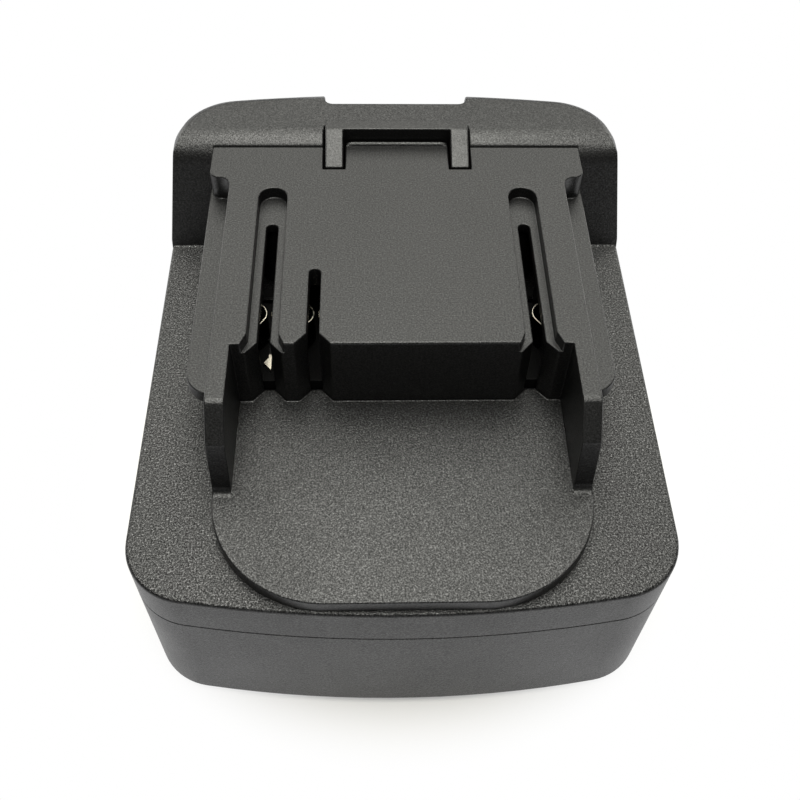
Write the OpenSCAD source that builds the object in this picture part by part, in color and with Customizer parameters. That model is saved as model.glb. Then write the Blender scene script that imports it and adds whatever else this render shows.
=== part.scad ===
// Tool battery adapter: a slide-on tool interface on top of a body
// that takes a slide pack from below. Millimetres, +Z up. The origin is the
// centre of the footprint on the standing plane. The slot mouths and the
// tongue face -Y, the riser with its latch stands at +Y.

/* [Body] */
// Width of the body across the rails
body_width = 80.8; // [80.4:0.1:92]
// Length of the body in the middle
body_length = 96; // [95.5:0.1:106]
// Radius of the body's upright front corners
corner_radius = 10; // [7:0.5:12]
// Radius of the body's upright rear corners
rear_corner = 13; // [10:0.1:14]
// Radius of the shallow bow of the front face
front_bow = 200; // [180:10:400]
// Radius of the shallow bow of the rear face
rear_bow = 240; // [200:10:400]
// Wall thickness of both shells
shell_wall = 2.4; // [2:0.1:2.8]
// Height of the lower shell, up to the parting line
lower_height = 26.3; // [25.5:0.1:30]
// Height of the upper shell, from the parting line to its flat top
upper_height = 7.7; // [7:0.1:10]
// Size of the slanted edge round the standing plane
foot_round = 3; // [2:0.1:3.4]
// Width and depth of the shadow line at the parting
parting_groove = 0.25; // [0.2:0.05:0.6]

/* [Riser] */
// Height of the riser above the flat top
riser_height = 17.75; // [17.2:0.05:19]
// Depth of the riser at its foot
riser_depth = 23.7; // [23:0.05:25.5]
// Backward lean of the riser's front, in degrees
riser_lean = 21.9; // [18:0.1:24]
// Radius of the riser's top front edge
riser_round = 5.8; // [5:0.1:6.4]
// Radius of the riser's top side and rear edges
riser_edge = 3.2; // [1:0.1:3.4]
// Inward lean of the riser's sides and rear, in degrees
draft = 7.3; // [6:0.1:7.6]
// Height of the riser's upright foot, below the lean
draft_foot = 1; // [0.5:0.1:2]

/* [Tool plate] */
// Width across the arms and the plateau
plate_width = 56.2; // [54:0.1:58]
// Height of the plateau above the flat top
plateau_height = 16.45; // [15.8:0.05:16.9]
// Distance from the body's front to the plateau's front face
plateau_setback = 35.45; // [34:0.05:37.5]
// Thickness of the plateau's roof
plateau_roof = 3.8; // [3.4:0.1:4.2]
// Thickness of the plateau's front wall
plateau_front = 2.4; // [2.1:0.1:2.8]
// Thickness of the tongue
tongue_thickness = 2.45; // [2:0.05:3.5]
// Step from the body's front back to the tongue
tongue_setback = 0.85; // [0.8:0.05:2.5]
// Radius of the tongue's front corners
tongue_corner = 17; // [10:0.5:20]
// Thickness of each arm and of the plateau's side walls
arm_thickness = 2.8; // [2.2:0.1:3.2]
// Length of the arms' flat top ahead of the plateau
arm_reach = 10.25; // [8:0.05:11.5]
// Length of the arms' upper slope
arm_slope_run = 4.65; // [4:0.05:6]
// Drop of the arms' upper slope
arm_slope_drop = 4.5; // [3:0.05:6]
// Forward step of the arms' steep lower edge
arm_foot_run = 1.65; // [1:0.05:3]
// Radius of the arms' upper edge
arm_crest_round = 1.7; // [0.8:0.1:2.5]
// Radius of the arms' knee
arm_knee_round = 0.8; // [0.4:0.1:1.5]
// Radius in the arms' foot
arm_foot_round = 1.4; // [0.8:0.1:2]
// Width across the rails
rail_width = 64.1; // [62:0.1:65]
// Drop from the plateau to the rails' top
rail_drop = 4.7; // [4:0.1:5.5]
// Thickness of the rails
rail_thickness = 2.4; // [2:0.1:3]
// Reach of the rails ahead of the plateau
rail_reach = 5.5; // [5:0.1:7]
// Overlap of the rails with the shoulders
rail_overlap = 2.5; // [2:0.1:3]
// Width across the shoulders
shoulder_width = 63.2; // [61:0.1:63.6]
// Step of the shoulders ahead of the riser's foot
shoulder_lead = 0.35; // [0.2:0.05:2]
// Radius in the shoulders' inner corners
shoulder_fillet = 2; // [1:0.1:2.2]
// Radius of the shoulders' outer corners
shoulder_round = 1.4; // [0.5:0.1:1.5]
// Gap between the plate's rear and the riser
plate_gap = 0.05; // [0.02:0.01:0.1]

/* [Terminal slots] */
// Distance between the two power slots
slot_spacing = 41.3; // [40:0.1:42]
// Width of the channel over each power slot
channel_width = 4.7; // [4:0.1:5.2]
// Depth of the channel over each power slot
channel_depth = 2.1; // [1.5:0.05:2.4]
// Length of the channels from the plateau's front
channel_length = 33.75; // [31:0.05:35]
// Width of the slits that the blades run in
slit_width = 1.87; // [1.6:0.01:2.2]
// Length of the power slits from the plateau's front
slit_length = 27.2; // [25:0.1:29]
// Distance of the signal slit from the middle
signal_offset = 13.25; // [12.5:0.05:13.5]
// Length of the signal slit from the plateau's front
signal_length = 15.1; // [13:0.1:18]
// Depth of the flared mouths
mouth_depth = 2; // [1.5:0.1:2.2]
// Widening of each slit's mouth, each side
mouth_flare = 1.75; // [1:0.05:2]
// Widening of each channel's mouth, each side
channel_flare = 0.8; // [0.4:0.05:1]

/* [Contacts] */
// Thickness of the contact strip
strip = 0.6; // [0.5:0.05:0.8]
// Height of the contact leaves
leaf_height = 5.8; // [5:0.1:7.8]
// Gap between the leaves at the neck
neck_gap = 0.6; // [0.4:0.05:0.9]
// Distance of the neck behind the plateau's front
neck_setback = 11.45; // [10:0.05:12]
// Radius of the leaves at the neck
neck_radius = 2.4; // [2:0.1:2.8]
// Opening angle of the leaves' lead-in
lead_angle = 50; // [40:1:55]
// Angle of the leaves behind the neck
leaf_angle = 50; // [35:1:55]
// Length of the slanted leaf behind the neck
leaf_slant = 0.9; // [0.5:0.1:1.2]
// Distance from the neck to the contact's tail
bridge_reach = 7.65; // [6.5:0.05:9]
// Reach of the left contact's nose ahead of the neck
nose_reach = 7.2; // [5:0.1:7.6]
// Width of the nose at its tip
nose_width = 1; // [0.8:0.1:1.6]
// Length of the wide part of the nose
nose_length = 3.2; // [2:0.1:3.5]
// Width of the contact and blade tails
tail_width = 4; // [3:0.1:4.4]
// Height of the carrier that the contacts stand in
carrier_height = 4.4; // [3.8:0.1:4.6]

/* [Latch] */
// Width of the hook
hook_width = 24.5; // [22:0.1:26]
// Width of each ramped post of the hook
hook_post = 3.05; // [2.5:0.05:4]
// Rise of the hook above the plateau
hook_rise = 2.75; // [2:0.05:3]
// Length of the posts' ramps
hook_ramp = 6.7; // [5:0.1:7.5]
// Length of the hook's flat top
hook_top = 2.55; // [2:0.05:3]
// Overhang of the plateau between the posts
plateau_overhang = 0.95; // [0.85:0.05:1.2]
// Radius of the overhang's rear edge
overhang_round = 0.8; // [0.3:0.05:0.85]
// Travel of the latch when its button is pressed
latch_travel = 3.2; // [3.1:0.05:3.6]
// Gap round the latch
latch_clearance = 0.35; // [0.3:0.05:0.5]
// Depth of the latch's shoulder behind the hook
shoulder_depth = 4; // [3.6:0.1:4.2]
// Drop of the latch's foot below the flat top
latch_drop = 3.5; // [3:0.1:4]
// Width of the release button
button_width = 18; // [14:0.5:20]
// Height of the release button
button_height = 12; // [9:0.5:13]
// Height of the button's foot above the flat top
button_foot = 0.6; // [0.3:0.1:1.2]
// Reach of the button out of its recess
button_reach = 2.6; // [1.5:0.1:3]
// Radius of the button's grip ridges
grip_radius = 0.6; // [0.4:0.05:0.7]
// Number of grip ridges
grip_count = 4; // [2:1:5]
// Depth of the finger recess in the riser's rear, at the top
recess_depth = 3.8; // [3.5:0.05:4.1]
// Radius in the recess's inner corners
recess_fillet = 1.5; // [0.5:0.1:2]

/* [Springs] */
// Mean radius of the latch springs
spring_radius = 1.85; // [1.6:0.05:1.9]
// Diameter of the spring wire
spring_wire = 0.5; // [0.4:0.05:0.6]
// Number of turns of each spring
spring_turns = 8; // [6:1:9]
// Distance between the two springs
spring_spacing = 14.4; // [12:0.1:16]
// Depth of the spring pockets in the latch
spring_pocket = 8; // [6:0.1:9]
// Gap between a spring and its pocket or peg
spring_gap = 0.25; // [0.2:0.01:0.3]
// Height of the pegs that hold the springs' feet
peg_height = 2.4; // [1.5:0.1:3]

/* [Battery socket] */
// Width of the socket
socket_width = 65.2; // [62:0.1:66]
// Height of the socket's ceiling
socket_height = 19; // [18:0.1:19.6]
// Distance from the body's front to the socket's front wall
socket_setback = 13; // [11.5:0.1:14.5]
// Height of the underside of the ledges that carry the pack
ledge_height = 6.5; // [4:0.1:7]
// Thickness of the ledges
ledge_thickness = 2.5; // [2:0.1:3.2]
// Reach of the ledges from the socket's sides
ledge_reach = 3.6; // [2.5:0.1:4]
// Lead-in at the ledges' open ends
ledge_lead = 2; // [1:0.1:3]
// Gap between the socket's front wall and the ledges
ledge_setback = 14; // [12:0.5:20]
// Width of the hollow between the socket's sides and the body's sides
hollow_width = 2; // [1.5:0.1:2.3]
// Width of the strike slot for the pack's hook
strike_width = 26; // [20:0.5:28]
// Length of the strike slot
strike_length = 5; // [4:0.1:6]
// Distance of the strike slot from the body's rear
strike_setback = 21.5; // [20:0.5:26]

/* [Terminal block] */
// Width of the terminal block
block_width = 50; // [48:0.5:52]
// Length of the terminal block
block_length = 10; // [9:0.5:12]
// Depth of the terminal block below the ceiling
block_depth = 9.5; // [8.5:0.1:11]
// Thickness of the block's flange on the ceiling
block_flange = 2; // [1.6:0.1:2.4]
// Width of the ears on the block's flange
block_ear = 7; // [6.6:0.1:7.2]
// Gap round the block and its blades
block_gap = 0.1; // [0.05:0.01:0.2]
// Thickness of the blades
blade_thickness = 0.8; // [0.6:0.05:1]
// Height of the blades
blade_height = 6; // [4:0.1:6.5]
// Reach of the blades out of the block
blade_reach = 14; // [10:0.5:16]
// Distance from the block's front to the tails
tail_setback = 3.8; // [2.5:0.1:5]
// Rise of the blade tails above the block
tail_rise = 4.6; // [4:0.1:4.8]
// Diameter of the power wires
wire_diameter = 2.8; // [2:0.1:3]
// Diameter of the signal wire
signal_wire_diameter = 1.6; // [1.2:0.1:2]

/* [Fasteners] */
// Diameter of the screws' shanks
screw_shank = 2.5; // [2:0.1:2.8]
// Diameter of the screws' heads
screw_head = 4.8; // [4.4:0.1:5]
// Height of the screws' heads
screw_head_height = 1.7; // [1.4:0.1:1.8]
// Gap round screw shanks and heads
screw_gap = 0.15; // [0.1:0.01:0.2]
// Wall round a screw in its boss
boss_wall = 0.9; // [0.7:0.05:1]
// Distance between the case screws across the body
case_spacing_x = 72; // [71.8:0.1:72.2]
// Distance between the case screws along the body
case_spacing_y = 65; // [61:0.5:66]
// Height of the case screws' heads above the standing plane
case_head_height = 8; // [6:0.5:12]
// Distance between the screws in the middle of the plate and of the carrier
middle_spacing = 11.1; // [10:0.1:13]
// Bite of each screw in the piece that it holds
screw_bite = 4.6; // [3.8:0.1:4.8]

/* [Hidden] */
$fn = 64;
bow_fn = 720;
over = 1;

// Body
half_width = body_width / 2;
front_y = -body_length / 2;
rear_y = body_length / 2;
function corner_x(radius) = half_width - radius;
function corner_y(radius, bow) = rear_y - bow
    + sqrt(pow(bow - radius, 2) - pow(corner_x(radius), 2));
function bend(radius, bow) = corner_x(radius) / (bow - radius);
front_corner_y = -corner_y(corner_radius, front_bow);
rear_corner_y = corner_y(rear_corner, rear_bow);
side_y = min(-front_corner_y, rear_corner_y);
parting_z = lower_height;
top_z = lower_height + upper_height;
deck_z = top_z - shell_wall;

// Riser
riser_top = top_z + riser_height;
riser_foot = rear_y - riser_depth;
lean_z = top_z + draft_foot;
riser_inset = (riser_top - lean_z) * tan(draft);
round_z = riser_top - riser_round;
round_y = riser_foot + tan(riser_lean) * (round_z - top_z) + riser_round / cos(riser_lean);
tangent_y = round_y - riser_round * cos(riser_lean);
tangent_z = round_z + riser_round * sin(riser_lean);

// Tool plate
plate_half = plate_width / 2;
rail_half = rail_width / 2;
arm_inner = plate_half - arm_thickness;
plateau_z = top_z + plateau_height;
plateau_y = front_y + plateau_setback;
plateau_rear = plateau_z > tangent_z
    ? round_y - sqrt(pow(riser_round, 2) - pow(plateau_z - round_z, 2))
    : riser_foot + tan(riser_lean) * plateau_height;
tongue_z = top_z + tongue_thickness;
tongue_y = front_y + tongue_setback;
rail_top = plateau_z - rail_drop;
rail_z = rail_top - rail_thickness;
rail_lip = rail_half - plate_half;
shoulder_half = shoulder_width / 2;
shoulder_y = riser_foot - shoulder_lead;
cavity_y = plateau_y + plateau_front;
cavity_roof = plateau_z - plateau_roof;
slot_x = slot_spacing / 2;

// Latch
hook_half = hook_width / 2;
post_inner = hook_half - hook_post;
overhang_y = plateau_rear + plateau_overhang;
hook_front = overhang_y + latch_clearance;
hook_rear = hook_front + hook_top;
hook_z = plateau_z + hook_rise;
post_front = hook_front - hook_ramp;
latch_rear = hook_rear + shoulder_depth;
latch_z = top_z - latch_drop;
opening_half = hook_half + latch_clearance;
opening_rear = hook_rear + latch_clearance;
chamber_rear = latch_rear + latch_clearance;
chamber_roof = riser_top - shell_wall;
latch_shoulder = chamber_roof - latch_clearance;
recess_y = rear_y - riser_inset - recess_depth;
button_z = top_z + button_foot;
button_y = recess_y + button_reach;
window_half = button_width / 2 + latch_clearance;
window_z = button_z - latch_travel - latch_clearance;
window_height = button_height + latch_travel + 2 * latch_clearance;
recess_z = window_z - latch_clearance;

// Socket
socket_half = socket_width / 2;
socket_y = front_y + socket_setback;
ceiling_z = socket_height + shell_wall;
strike_y = rear_y - strike_setback;
ledge_y = socket_y + ledge_setback;

// Springs
spring_x = spring_spacing / 2;
spring_y = (hook_front + latch_rear) / 2;
spring_top = latch_z + spring_pocket;
spring_length = spring_top - ceiling_z;
pocket_radius = spring_radius + spring_wire / 2 + spring_gap;
peg_radius = spring_radius - spring_wire / 2 - spring_gap;

// Contacts
neck_y = plateau_y + neck_setback;
bridge_y = neck_y + bridge_reach;
carrier_top = top_z + carrier_height;
leaf_z = carrier_top;
tail_foot = deck_z - tail_width;
slant_x = neck_gap / 2 + neck_radius * (1 - cos(leaf_angle));
slant_y = neck_y + neck_radius * sin(leaf_angle);
leaf_x = slant_x + leaf_slant * sin(leaf_angle);
leaf_y = slant_y + leaf_slant * cos(leaf_angle);
power_places = [-slot_x, slot_x];
signal_x = -signal_offset;

// Terminal block
block_y = socket_y + block_gap;
block_rear = block_y + block_length;
block_z = socket_height - block_depth;
block_top = ceiling_z + block_flange;
tail_y = block_y + tail_setback;
blade_z = block_z + (block_depth - blade_height) / 2;
tail_top = block_top + tail_rise;
blade_wire_z = block_top + tail_rise - tail_width / 2;
contact_wire_z = deck_z - tail_width / 2;
wire_start = tail_y + blade_thickness / 2;
wire_end = bridge_y;

// Fasteners
shank_radius = screw_shank / 2;
head_radius = screw_head / 2;
hole_radius = shank_radius + screw_gap;
bore_radius = head_radius + screw_gap;
boss_radius = bore_radius + boss_wall;
post_radius = shank_radius + 2 * boss_wall;
case_places = [for (x = [-1, 1], y = [-1, 1]) [x * case_spacing_x / 2, y * case_spacing_y / 2]];
middle_x = middle_spacing / 2;
middle_y = cavity_y + post_radius + 2 * boss_wall;
plate_places = [for (x = [-1, 1]) [x * middle_x, middle_y],
    for (x = [-1, 1]) [x * slot_x, plateau_y + channel_length - post_radius]];
carrier_places = [for (x = [-1, 1]) [x * middle_x, bridge_y]];
block_places = [for (x = [-1, 1]) [x * (block_width + block_ear) / 2, (block_y + block_rear) / 2]];

// Prism along Y between two leaning sides
module leaning_sides(low_half, high_half, height, from, to) {
    translate([0, to, 0])
        rotate([90, 0, 0])
            linear_extrude(to - from)
                polygon([[-low_half, 0], [low_half, 0], [high_half, height], [-high_half, height]]);
}

// Solid of the body's outline whose inset changes evenly with height
module body_outline(height, low_inset, high_inset) {
    front_bend = bend(corner_radius, front_bow);
    rear_bend = bend(rear_corner, rear_bow);
    intersection() {
        leaning_sides(half_width - low_inset, half_width - high_inset, height, -body_length, body_length);
        translate([0, front_y + front_bow, 0])
            cylinder(r1 = front_bow - low_inset, r2 = front_bow - high_inset, h = height, $fn = bow_fn);
        translate([0, rear_y - rear_bow, 0])
            cylinder(r1 = rear_bow - low_inset, r2 = rear_bow - high_inset, h = height, $fn = bow_fn);
        union() {
            box([-body_width, front_corner_y, 0], [body_width, rear_corner_y, height]);
            leaning_sides(front_bend * (front_bow - low_inset), front_bend * (front_bow - high_inset),
                height, -body_length, 0);
            leaning_sides(rear_bend * (rear_bow - low_inset), rear_bend * (rear_bow - high_inset),
                height, 0, body_length);
            for (x = [-1, 1]) {
                translate([x * corner_x(corner_radius), front_corner_y, 0])
                    cylinder(r1 = corner_radius - low_inset, r2 = corner_radius - high_inset, h = height);
                translate([x * corner_x(rear_corner), rear_corner_y, 0])
                    cylinder(r1 = rear_corner - low_inset, r2 = rear_corner - high_inset, h = height);
            }
        }
    }
}

// Body's outline from one height to another, as one facet of an edge rounding:
// it touches a circle of the given radius at the given angle above the horizon
module edge_facet(low, high, inset, middle_z, radius, angle) {
    function facet_inset(z) = inset + radius - (radius - (z - middle_z) * sin(angle)) / cos(angle);
    translate([0, 0, low])
        body_outline(high - low, facet_inset(low), facet_inset(high));
}

// Ring that cuts one facet of an edge rounding off the body, from one height to another
module edge_cut(low, high, inset, middle_z, radius, angle) {
    difference() {
        box([-body_width, -body_length, low], [body_width, body_length, high]);
        edge_facet(low - over, high + over, inset, middle_z, radius, angle);
    }
}

// Prism along X of an outline given as [y, z] points
module along_x(from, to) {
    translate([from, 0, 0])
        rotate([90, 0, 90])
            linear_extrude(to - from)
                children();
}

// Box given by its two corners
module box(low, high) {
    translate(low)
        cube(high - low);
}

// Points of a corner rounded with a radius, between two neighbours
function rounded(before, corner, after, radius, steps = 6) =
    let (a = (before - corner) / norm(before - corner),
        b = (after - corner) / norm(after - corner),
        half = acos(a * b) / 2,
        middle = corner + (a + b) / norm(a + b) * radius / sin(half),
        start = corner + a * radius / tan(half) - middle,
        end = corner + b * radius / tan(half) - middle,
        first = atan2(start[1], start[0]),
        turn = (atan2(end[1], end[0]) - first + 540) % 360 - 180)
    [for (i = [0:steps])
        middle + radius * [cos(first + turn * i / steps), sin(first + turn * i / steps)]];

// Screw with its head's underside at the origin and its shank along +Z
module screw(length) {
    cylinder(r = shank_radius, h = length);
    translate([0, 0, -screw_head_height])
        cylinder(r = head_radius, h = screw_head_height);
}

// Lower shell: skirt, socket, ledges, bosses and the foot of the springs
module lower_shell() {
    color([0.07, 0.07, 0.075])
        union() {
            difference() {
                union() {
                    lower_skin();
                    for (place = case_places)
                        translate([place[0], place[1], shell_wall])
                            cylinder(r = boss_radius, h = parting_z - shell_wall);
                }
                box([-socket_half, socket_y, -over], [socket_half, body_length, socket_height]);
                for (place = case_places)
                    translate([place[0], place[1], 0]) {
                        translate([0, 0, -over])
                            cylinder(r = bore_radius, h = case_head_height + over);
                        cylinder(r = hole_radius, h = parting_z + over);
                    }
                box([-block_width / 2 - block_gap, block_y - block_gap, 0],
                    [block_width / 2 + block_gap, block_rear + block_gap, ceiling_z + over]);
                box([-strike_width / 2, strike_y, 0],
                    [strike_width / 2, strike_y + strike_length, ceiling_z + over]);
                for (place = block_places)
                    translate([place[0], place[1], 0])
                        cylinder(r = shank_radius, h = ceiling_z + over);
            }
            for (side = [-1, 1])
                ledge(side);
            for (place = block_places)
                block_boss(place);
            for (side = [-1, 1])
                translate([side * spring_x, spring_y, ceiling_z - over])
                    cylinder(r = peg_radius, h = peg_height + over);
        }
}

// Outer skin of the lower shell with its hollows, before the socket is cut
module lower_skin() {
    seam_z = parting_z - parting_groove;
    difference() {
        union() {
            intersection() {
                body_outline(seam_z, 0, 0);
                edge_facet(0, seam_z, 0, foot_round, foot_round, -30);
                edge_facet(0, seam_z, 0, foot_round, foot_round, -60);
            }
            translate([0, 0, seam_z - over])
                body_outline(parting_groove + over, parting_groove, parting_groove);
        }
        translate([0, 0, ceiling_z])
            body_outline(parting_z - ceiling_z + over, shell_wall, shell_wall);
        for (side = [-1, 1])
            translate([side * (half_width - shell_wall - hollow_width / 2), 0, shell_wall])
                linear_extrude(ceiling_z)
                    square([hollow_width, 2 * side_y], center = true);
        box([-corner_x(corner_radius), front_y + 2 * shell_wall, shell_wall],
            [corner_x(corner_radius), socket_y - shell_wall, ceiling_z + over]);
    }
}

// Ledge that carries the pack's rail, with a lead-in at its open end
module ledge(side) {
    lip = socket_half - ledge_reach;
    end = side_y;
    outline = [[lip, ledge_y], [socket_half + over, ledge_y], [socket_half + over, end],
        [lip + ledge_lead, end], [lip, end - 2 * ledge_lead]];
    translate([0, 0, ledge_height])
        linear_extrude(ledge_thickness)
            polygon([for (p = outline) [side * p[0], p[1]]]);
}

// Boss under the ceiling for a screw of the terminal block
module block_boss(place) {
    translate([place[0], place[1], block_top - block_flange - shell_wall - screw_bite])
        difference() {
            cylinder(r = post_radius, h = screw_bite + over);
            translate([0, 0, over])
                cylinder(r = shank_radius, h = screw_bite + over);
        }
}

// Upper shell: flat top, riser, latch chamber and finger recess
module upper_shell() {
    color([0.07, 0.07, 0.075])
        difference() {
            union() {
                difference() {
                    upper_skin();
                    difference() {
                        translate([0, 0, parting_z - over])
                            body_outline(deck_z - parting_z + over, shell_wall, shell_wall);
                        box([-opening_half - shell_wall, chamber_rear, 0],
                            [opening_half + shell_wall, body_length, top_z]);
                    }
                    riser_hollows();
                }
                for (place = case_places)
                    translate([place[0], place[1], parting_z])
                        cylinder(r = boss_radius, h = deck_z - parting_z + over);
                for (place = carrier_places)
                    translate([place[0], place[1], deck_z - screw_bite + shell_wall])
                        cylinder(r = post_radius, h = screw_bite);
            }
            for (place = case_places)
                translate([place[0], place[1], parting_z - over])
                    cylinder(r = shank_radius, h = screw_bite + over);
            for (place = plate_places)
                translate([place[0], place[1], parting_z])
                    cylinder(r = hole_radius, h = upper_height + over);
            for (place = carrier_places)
                translate([place[0], place[1], parting_z])
                    cylinder(r = shank_radius, h = upper_height + over);
            for (x = concat(power_places, [signal_x]))
                tail_slot(x, deck_z - over, top_z + over);
            latch_chamber();
            finger_recess();
        }
}

// Outer skin of the upper shell: flat top, and the riser with its leaning, rounded front
module upper_skin() {
    edge_z = riser_top - riser_edge;
    edge_inset = (edge_z - lean_z) * tan(draft);
    height = riser_top - parting_z;
    difference() {
        intersection() {
            translate([0, 0, parting_z])
                body_outline(height, 0, 0);
            translate([0, 0, parting_z])
                body_outline(height, riser_inset - height * tan(draft), riser_inset);
            along_x(-body_width, body_width)
                union() {
                    polygon([[-body_length, 0], [-body_length, top_z], [riser_foot, top_z],
                        [tangent_y, tangent_z], [round_y, round_z], [round_y, riser_top],
                        [body_length, riser_top], [body_length, 0]]);
                    translate([round_y, round_z])
                        circle(r = riser_round);
                }
        }
        edge_cut(edge_z - over, riser_top + over, edge_inset, edge_z, riser_edge, 35);
        edge_cut(edge_z - over, riser_top + over, edge_inset, edge_z, riser_edge, 65);
    }
}

// Pocket for the plate's rear end, and the hollows beside the latch
module riser_hollows() {
    box([-shoulder_half - plate_gap, riser_foot - riser_depth, top_z],
        [shoulder_half + plate_gap, plateau_rear, riser_top + over]);
    inner = opening_half + shell_wall;
    for (side = [-1, 1])
        box([side > 0 ? inner : -shoulder_half, plateau_rear + shell_wall, parting_z],
            [side > 0 ? shoulder_half : -inner, chamber_rear, chamber_roof - shell_wall]);
}

// Space that the latch slides in, and the opening for its hook
module latch_chamber() {
    box([-opening_half, plateau_rear - over, parting_z - over],
        [opening_half, chamber_rear, chamber_roof]);
    box([-opening_half, plateau_rear - over, chamber_roof - over],
        [opening_half, opening_rear, riser_top + over]);
}

// Recess round the release button, and the button's window
module finger_recess() {
    inner = opening_half - recess_fillet;
    translate([0, 0, recess_z])
        union() {
            box([-inner, recess_y, 0], [inner, body_length, body_length]);
            box([-opening_half, recess_y + recess_fillet, 0], [opening_half, body_length, body_length]);
            for (side = [-1, 1])
                translate([side * inner, recess_y + recess_fillet, 0])
                    cylinder(r = recess_fillet, h = body_length);
        }
    box([-window_half, latch_rear - over, window_z],
        [window_half, recess_y + over, window_z + window_height]);
}

// Slot that a contact's tail passes through
module tail_slot(x, low, high) {
    box([x - tail_width / 2 - block_gap, bridge_y - block_gap, low],
        [x + tail_width / 2 + block_gap, bridge_y + strip + block_gap, high]);
}

// Tool plate: tongue, arms, rails and the plateau with its slots
module tool_plate() {
    color([0.085, 0.085, 0.09])
        difference() {
            union() {
                difference() {
                    union() {
                        tongue();
                        for (side = [-1, 1])
                            arm(side);
                        box([-plate_half, plateau_y, top_z], [plate_half, plateau_rear - plate_gap, plateau_z]);
                        rails();
                        shoulders();
                    }
                    box([-arm_inner, cavity_y, top_z - over], [arm_inner, plateau_rear + over, cavity_roof]);
                }
                for (place = plate_places)
                    translate([place[0], place[1], top_z])
                        cylinder(r = post_radius, h = cavity_roof - top_z + over);
                overhang();
            }
            for (x = power_places)
                power_slot(x);
            slit(signal_x, signal_length);
            for (side = [-1, 1])
                post_slot(side);
            for (place = plate_places)
                translate([place[0], place[1], top_z - over])
                    cylinder(r = shank_radius, h = screw_bite + over);
        }
}

// Rear lip of the plateau between the posts, with a rounded upper edge
module overhang() {
    lip = post_inner - latch_clearance;
    start = [shoulder_y, plateau_z];
    edge = [overhang_y, plateau_z];
    foot = [overhang_y, cavity_roof];
    along_x(-lip, lip)
        polygon(concat([[shoulder_y, cavity_roof], start],
            rounded(start, edge, foot, overhang_round), [foot]));
}

// Tongue ahead of the plateau, with its two large corners
module tongue() {
    corner = plate_half - tongue_corner;
    translate([0, 0, top_z])
        linear_extrude(tongue_thickness)
            union() {
                translate([-plate_half, tongue_y + tongue_corner])
                    square([plate_width, plateau_y + over - tongue_y - tongue_corner]);
                translate([-corner, tongue_y])
                    square([2 * corner, tongue_corner + over]);
                for (side = [-1, 1])
                    translate([side * corner, tongue_y + tongue_corner])
                        circle(r = tongue_corner);
            }
}

// Arm beside the tongue: flat top, slope, steep lower edge and a rounded foot
module arm(side) {
    rear = [plateau_y + over, plateau_z];
    crest = [plateau_y - arm_reach, plateau_z];
    knee = crest - [arm_slope_run, arm_slope_drop];
    foot = [knee[0] - arm_foot_run, tongue_z];
    toe = foot - [1.5 * arm_foot_round, 0];
    along_x(side > 0 ? arm_inner : -plate_half, side > 0 ? plate_half : -arm_inner)
        polygon(concat([[plateau_y + over, top_z], rear],
            rounded(rear, crest, knee, arm_crest_round),
            rounded(crest, knee, foot, arm_knee_round),
            rounded(knee, foot, toe, arm_foot_round),
            [toe, [toe[0], top_z]]));
}

// Rails on both sides of the plateau, with rounded front corners
module rails() {
    translate([0, 0, rail_z])
        linear_extrude(rail_thickness)
            difference() {
                union() {
                    translate([-rail_half, plateau_y - rail_reach + rail_lip])
                        square([rail_width, shoulder_y + rail_overlap - plateau_y + rail_reach - rail_lip]);
                    for (side = [-1, 1])
                        translate([side * plate_half, plateau_y - rail_reach + rail_lip])
                            circle(r = rail_lip);
                }
                translate([-arm_inner, plateau_y - rail_reach - over])
                    square([2 * arm_inner, rail_reach + 2 * over]);
            }
}

// Wide rear end of the plateau, with rounded inner and outer corners
module shoulders() {
    rear = plateau_rear - plate_gap;
    inner = [plate_half, shoulder_y];
    outer = [shoulder_half, shoulder_y];
    half = concat([[plate_half - over, rear], [plate_half - over, shoulder_y - shoulder_fillet]],
        rounded(inner - [0, rail_lip], inner, outer, shoulder_fillet, 10),
        rounded(inner, outer, [shoulder_half, rear], shoulder_round, 10), [[shoulder_half, rear]]);
    translate([0, 0, rail_z])
        linear_extrude(plateau_z - rail_z)
            for (side = [-1, 1])
                polygon([for (p = half) [side * p[0], p[1]]]);
}

// Channel with a blade slit below it, both flared at the mouth
module power_slot(x) {
    half = channel_width / 2;
    end = plateau_y + channel_length - half;
    translate([x, 0, plateau_z - channel_depth])
        linear_extrude(channel_depth + over)
            union() {
                translate([-half, plateau_y - over])
                    square([channel_width, end - plateau_y + over]);
                translate([0, end])
                    circle(r = half);
                mouth(half, channel_flare);
            }
    slit(x, slit_length);
}

// Slit through the plateau's roof and front wall
module slit(x, length) {
    half = slit_width / 2;
    end = plateau_y + length - half;
    translate([x, 0, tongue_z])
        linear_extrude(plateau_z - tongue_z + over)
            union() {
                translate([-half, plateau_y - over])
                    square([slit_width, end - plateau_y + over]);
                translate([0, end])
                    circle(r = half);
                mouth(half, mouth_flare);
            }
}

// Flared mouth of a slot of the given half width
module mouth(half, flare) {
    step = flare / mouth_depth * over;
    polygon([[-half, plateau_y + mouth_depth], [half, plateau_y + mouth_depth],
        [half + flare + step, plateau_y - over], [-half - flare - step, plateau_y - over]]);
}

// Slot in the plateau that one post of the hook rises through
module post_slot(side) {
    inner = post_inner - latch_clearance;
    box([side > 0 ? inner : -opening_half, post_front - latch_clearance, cavity_roof - over],
        [side > 0 ? opening_half : -inner, overhang_y + over, plateau_z + over]);
}

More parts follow.
